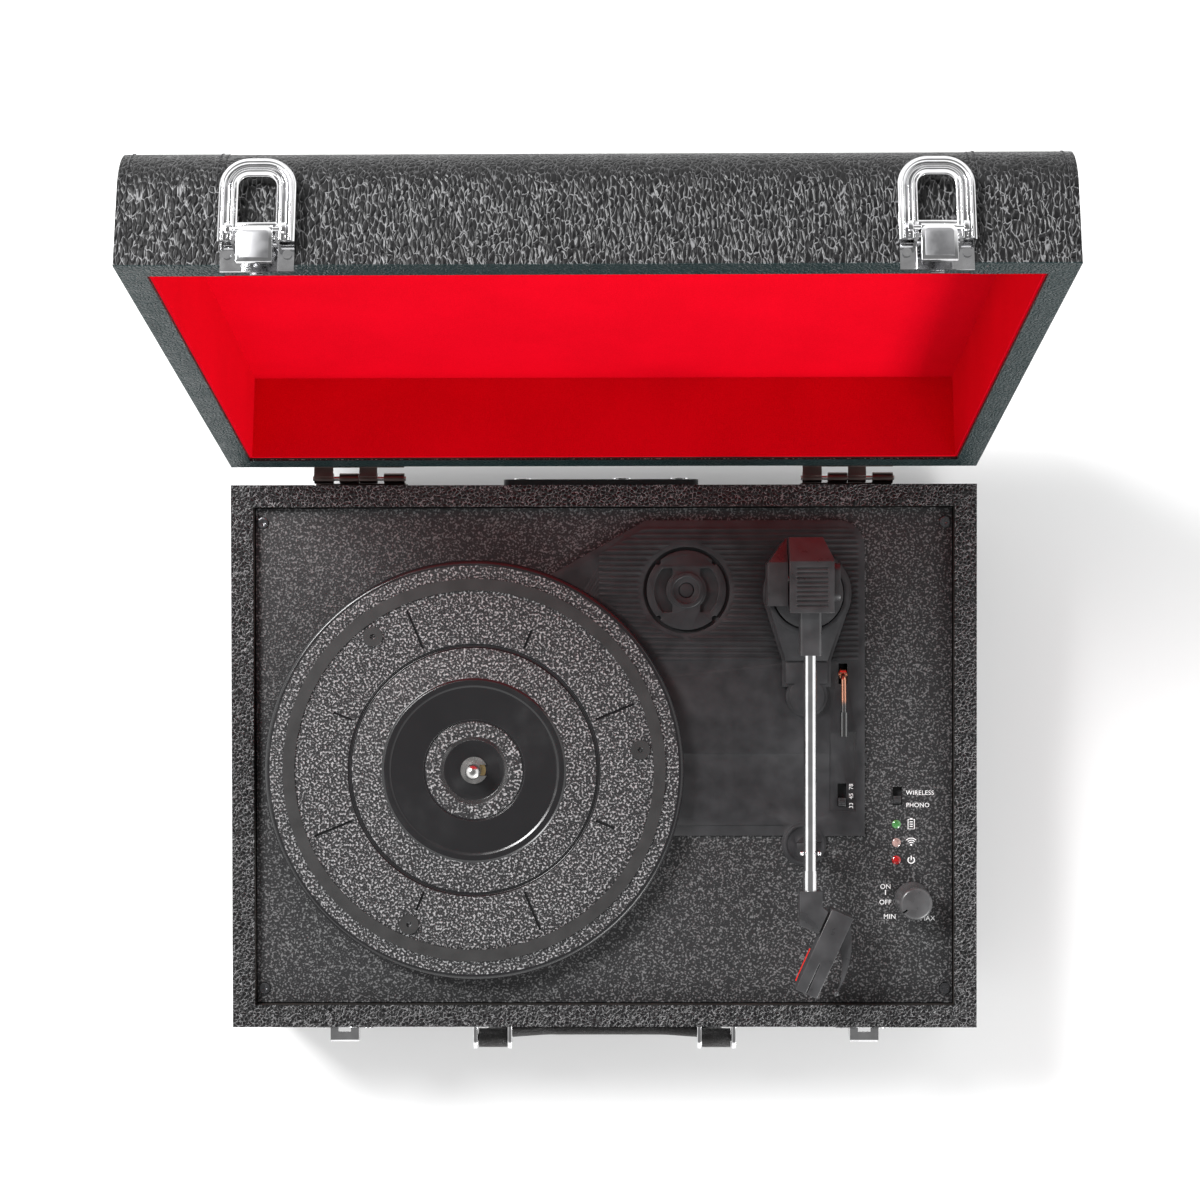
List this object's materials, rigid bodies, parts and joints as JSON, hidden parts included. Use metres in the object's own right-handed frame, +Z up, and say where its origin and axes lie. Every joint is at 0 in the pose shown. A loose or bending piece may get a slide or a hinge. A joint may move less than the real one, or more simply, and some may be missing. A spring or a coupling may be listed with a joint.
{
  "type": "suitcase record player",
  "caption": "Portable record player in a leather-look carrying case: belt-driven platter, tonearm and controls on a deck under a hinged, latched lid, with a handle.",
  "frame": {"origin": "middle of the case's footprint, on the plane that the four feet stand on", "axes": "+X to the right as the player is used, +Y from the handle to the hinges, +Z up"},
  "size_m": [0.3578, 0.3917, 0.3336],
  "materials": {
    "case_wood": "board stained black",
    "leatherette": "satin, pebbled grain",
    "lid_lining": "flocked",
    "deck_board": "fine speckle texture",
    "mechanism_plastic": "satin",
    "platter_plastic": "coarse speckle texture",
    "arm_plastic": "satin",
    "soft_rubber": "matte",
    "bearing_brass": "turned",
    "plain_steel": "satin",
    "black_screw": "black oxide",
    "bright_chrome": "polished",
    "dark_bronze": "antique bronze",
    "weight_iron": "raw",
    "stylus_red": "glossy",
    "lamp_green": "glossy",
    "lamp_amber": "glossy",
    "lamp_red": "glossy",
    "knob_plastic": "satin",
    "board_green": "solder mask",
    "cell_sleeve": "shrink sleeve",
    "speaker_metal": "black",
    "cone_paper": "pressed paper",
    "handle_leather": "smooth grain"
  },
  "bodies": {
    "base": {"case_box": "case_wood", "base_cover": "leatherette", "feet": "soft_rubber", "case_screws": "black_screw", "deck_plate": "deck_board", "mechanism_plate": "mechanism_plastic", "spindle": "plain_steel", "spindle_clip": "plain_steel", "drive_belt": "soft_rubber", "motor": "plain_steel", "tonearm_pedestal": "mechanism_plastic", "arm_rest_post": "mechanism_plastic", "arm_rest_clip": "bright_chrome", "switch_bodies": "mechanism_plastic", "led_green": "lamp_green", "led_amber": "lamp_amber", "led_red": "lamp_red", "volume_pot": "plain_steel", "amplifier_board": "board_green", "battery_pack": "cell_sleeve", "speaker_frames": "speaker_metal", "speaker_cones": "cone_paper", "speaker_grilles": "speaker_metal", "rear_panel": "mechanism_plastic", "rear_jacks": "bright_chrome", "hinge_base_leaves": "dark_bronze", "hinge_pins": "plain_steel", "latch_keepers": "bright_chrome", "handle_mounts": "bright_chrome"},
    "lid": {"lid_shell": "case_wood", "lid_cover": "leatherette", "lid_lining": "lid_lining", "hinge_lid_leaves": "dark_bronze", "latch_plates": "bright_chrome"},
    "platter": {"platter": "platter_plastic", "platter_bush": "bearing_brass", "platter_rubber": "soft_rubber"},
    "pulley": {"motor_pulley": "bearing_brass"},
    "yoke": {"tonearm_yoke": "arm_plastic", "tonearm_pivot_pins": "plain_steel"},
    "arm": {"tonearm_block": "arm_plastic", "tonearm_counterweight": "weight_iron", "tonearm_tube": "bright_chrome", "headshell": "arm_plastic", "cartridge": "arm_plastic", "stylus": "stylus_red", "finger_lift": "arm_plastic"},
    "cue_lever": {"cue_lever": "plain_steel"},
    "cue_lifter": {"cue_lifter": "mechanism_plastic"},
    "adapter": {"adapter_45": "mechanism_plastic"},
    "speed_slider": {"speed_switch_slider": "arm_plastic"},
    "source_slider": {"source_switch_slider": "arm_plastic"},
    "volume_knob": {"volume_knob": "knob_plastic"},
    "latch_lever_left": {"latch_lever_left": "bright_chrome"},
    "latch_hook_left": {"latch_hook_left": "bright_chrome"},
    "latch_lever_right": {"latch_lever_right": "bright_chrome"},
    "latch_hook_right": {"latch_hook_right": "bright_chrome"},
    "handle": {"handle_grip": "handle_leather"}
  },
  "joints": [
    {"name": "lid_hinge", "type": "hinge", "parent": "base", "child": "lid", "pos_m": [0, 0.1328, 0.0708], "axis": [-1, 0, 0], "range_deg": [-104, 0]},
    {"name": "platter_spin", "type": "hinge", "parent": "base", "child": "platter", "pos_m": [-0.0614, -0.006, 0.078], "axis": [0, 0, -1], "continuous": true},
    {"name": "pulley_spin", "type": "hinge", "parent": "base", "child": "pulley", "pos_m": [0.00659, 0.04161, 0.077], "axis": [0, 0, -1], "continuous": true},
    {"name": "tonearm_swing", "type": "hinge", "parent": "base", "child": "yoke", "pos_m": [0.097, 0.0775, 0.08], "axis": [0, 0, -1], "range_deg": [0, 44], "deforming": ["arm_rest_clip"]},
    {"name": "tonearm_lift", "type": "hinge", "parent": "yoke", "child": "arm", "pos_m": [0.097, 0.0845, 0.097], "axis": [-1, 0, 0], "range_deg": [0, 6.1], "deforming": ["arm_rest_clip"]},
    {"name": "cue_lever_turn", "type": "hinge", "parent": "base", "child": "cue_lever", "pos_m": [0.1142, 0.039, 0.0705], "axis": [-1, 0, 0], "range_deg": [0, 60]},
    {"name": "cue_lifter_slide", "type": "slide", "parent": "base", "child": "cue_lifter", "axis": [0, 0, 1], "range_m": [0, 0.00078]},
    {"name": "adapter_lift", "type": "slide", "parent": "base", "child": "adapter", "axis": [0, 0, 1], "range_m": [0, 0.03]},
    {"name": "speed_switch_slide", "type": "slide", "parent": "base", "child": "speed_slider", "axis": [0, 1, 0], "range_m": [0, 0.0066]},
    {"name": "source_switch_slide", "type": "slide", "parent": "base", "child": "source_slider", "axis": [0, 1, 0], "range_m": [0, 0.004]},
    {"name": "volume_turn", "type": "hinge", "parent": "base", "child": "volume_knob", "pos_m": [0.1474, -0.069, 0.078], "axis": [0, 0, -1], "range_deg": [0, 280]},
    {"name": "latch_lever_left_turn", "type": "hinge", "parent": "lid", "child": "latch_lever_left", "pos_m": [-0.1243, 0.20989, 0.32706], "axis": [1, 0, 0], "range_deg": [0, 110]},
    {"name": "latch_hook_left_turn", "type": "hinge", "parent": "latch_lever_left", "child": "latch_hook_left", "pos_m": [-0.1243, 0.2134, 0.32876], "axis": [-1, 0, 0], "range_deg": [0, 111]},
    {"name": "latch_lever_right_turn", "type": "hinge", "parent": "lid", "child": "latch_lever_right", "pos_m": [0.1243, 0.20989, 0.32706], "axis": [1, 0, 0], "range_deg": [0, 110]},
    {"name": "latch_hook_right_turn", "type": "hinge", "parent": "latch_lever_right", "child": "latch_hook_right", "pos_m": [0.1243, 0.2134, 0.32876], "axis": [-1, 0, 0], "range_deg": [0, 111]},
    {"name": "handle_swing", "type": "hinge", "parent": "base", "child": "handle", "pos_m": [0, -0.1402, 0.047], "axis": [-1, 0, 0], "range_deg": [0, 95]}
  ],
  "couplings": [
    {"joint": "pulley_spin", "follows": "platter_spin", "ratio": 9.6765},
    {"joint": "tonearm_lift", "follows": "cue_lever_turn", "ratio": 0.1},
    {"joint": "cue_lifter_slide", "follows": "cue_lever_turn", "m_per_rad": 0.00072},
    {"joint": "latch_hook_left_turn", "follows": "latch_lever_left_turn", "ratio": 1},
    {"joint": "latch_hook_right_turn", "follows": "latch_lever_right_turn", "ratio": 1}
  ]
}
